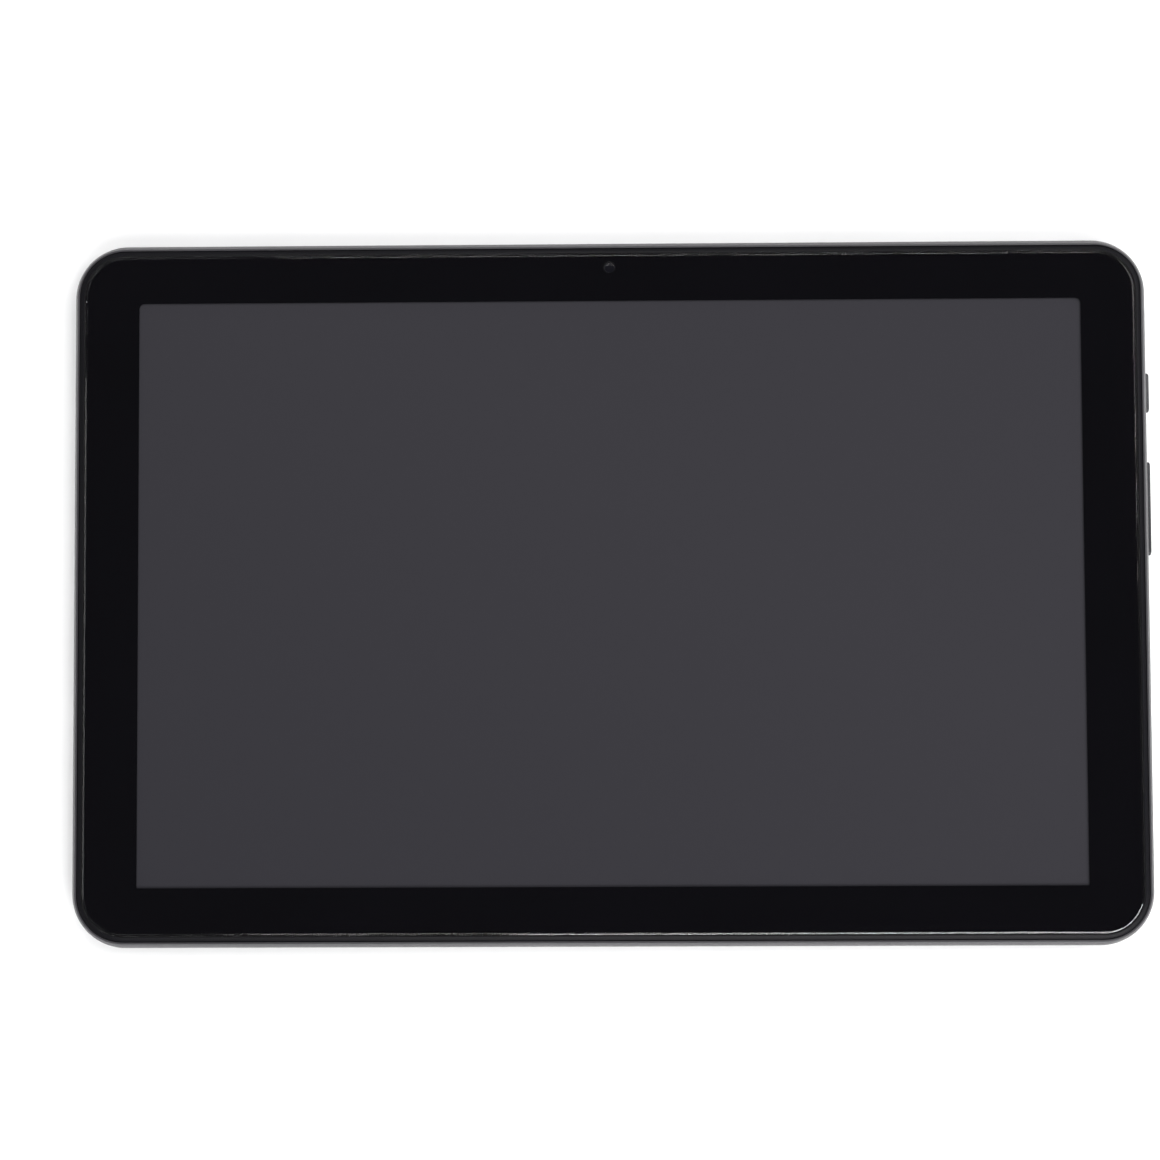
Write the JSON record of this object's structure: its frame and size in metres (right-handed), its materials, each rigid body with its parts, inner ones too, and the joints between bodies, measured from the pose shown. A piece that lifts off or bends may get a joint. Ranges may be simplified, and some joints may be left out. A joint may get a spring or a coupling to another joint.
{
  "type": "tablet computer",
  "caption": "Slim rectangular tablet computer with a glass-covered display, side buttons, a charging port and a pull-out card tray.",
  "frame": {"origin": "centre of the flat back of the rear cover", "axes": "+X along the long side towards the buttons, +Y towards the long side with the front camera, +Z out of the screen"},
  "size_m": [0.2493, 0.1626, 0.0087],
  "materials": {
    "rear_cover": "fine matt texture",
    "mid_frame": "satin",
    "cover_glass": "polished, chamfered edge",
    "border_ink": "black print under glass",
    "foam": "black foam tape",
    "clear_film": "clear film",
    "lcd": "dark panel",
    "led_strip": "white strip with LEDs",
    "steel": "pressed sheet",
    "flex": "amber polyimide",
    "circuit_board": "solder mask",
    "chip": "moulded package",
    "graphite": "dark grey sheet",
    "battery_pouch": "laminated foil pouch",
    "cable": "sleeved wires",
    "black_plastic": "moulded",
    "diaphragm": "thin film",
    "dust_mesh": "woven",
    "lens": "coated",
    "trim": "anodised",
    "button": "satin",
    "tray": "fine matt texture"
  },
  "bodies": {
    "housing": {"antenna_cable": "cable", "backlight_tray": "steel", "battery_cell_left": "battery_pouch", "battery_cell_right": "battery_pouch", "battery_lead": "cable", "battery_protection_board": "circuit_board", "board_screw_1": "steel", "board_screw_2": "steel", "board_screw_3": "steel", "board_screw_4": "steel", "board_screw_5": "steel", "border_mask": "border_ink", "card_cage": "steel", "card_contacts": "black_plastic", "cover_glass": "cover_glass", "display_flex": "flex", "front_camera_flex": "flex", "front_camera_lens": "lens", "front_camera_module": "black_plastic", "glass_adhesive": "foam", "graphite_sheet": "graphite", "key_board": "flex", "key_bracket": "steel", "lcd_cell": "lcd", "led_strip": "led_strip", "light_guide": "clear_film", "main_board": "circuit_board", "microphone_bottom": "steel", "microphone_top": "steel", "mid_frame": "mid_frame", "optical_films": "clear_film", "power_chip": "chip", "power_shield": "steel", "power_switch": "steel", "processor": "chip", "processor_shield": "steel", "rear_camera_module": "black_plastic", "rear_camera_trim": "trim", "rear_camera_window": "lens", "rear_cover": "rear_cover", "speaker_box_left": "black_plastic", "speaker_box_right": "black_plastic", "speaker_diaphragm_left": "diaphragm", "speaker_diaphragm_right": "diaphragm", "speaker_mesh_left": "dust_mesh", "speaker_mesh_right": "dust_mesh", "touch_film": "clear_film", "touch_flex": "flex", "usb_board": "circuit_board", "usb_c_shell": "steel", "usb_c_tongue": "black_plastic", "usb_flex": "flex", "volume_down_switch": "steel", "volume_up_switch": "steel", "wifi_antenna": "flex"},
    "power_button": {"power_button": "button"},
    "volume_button": {"volume_button": "button"},
    "card_tray": {"card_tray": "tray"},
    "eject_rod": {"eject_rod": "steel"},
    "eject_lever": {"eject_lever": "steel"}
  },
  "joints": [
    {"name": "power_press", "type": "slide", "parent": "housing", "child": "power_button", "axis": [-1, 0, 0], "range_m": [0, 0.00035], "stiffness_N_per_m": 400},
    {"name": "volume_rock", "type": "hinge", "parent": "housing", "child": "volume_button", "pos_m": [0.12185, 0.0188, 0.0033], "axis": [0, 0, 1], "range_deg": [-1.4, 1.4], "stiffness_Nm_per_rad": 0.05},
    {"name": "card_tray_slide", "type": "slide", "parent": "housing", "child": "card_tray", "axis": [0, 1, 0], "range_m": [0, 0.024]},
    {"name": "eject_rod_slide", "type": "slide", "parent": "housing", "child": "eject_rod", "axis": [0, -1, 0], "range_m": [0, 0.0012], "stiffness_N_per_m": 60},
    {"name": "eject_lever_turn", "type": "hinge", "parent": "housing", "child": "eject_lever", "pos_m": [0.0445, 0.0576, 0.0033], "axis": [0, 0, -1], "range_deg": [0, 11]}
  ],
  "couplings": [
    {"joint": "eject_lever_turn", "follows": "eject_rod_slide", "rad_per_m": 156.25}
  ]
}
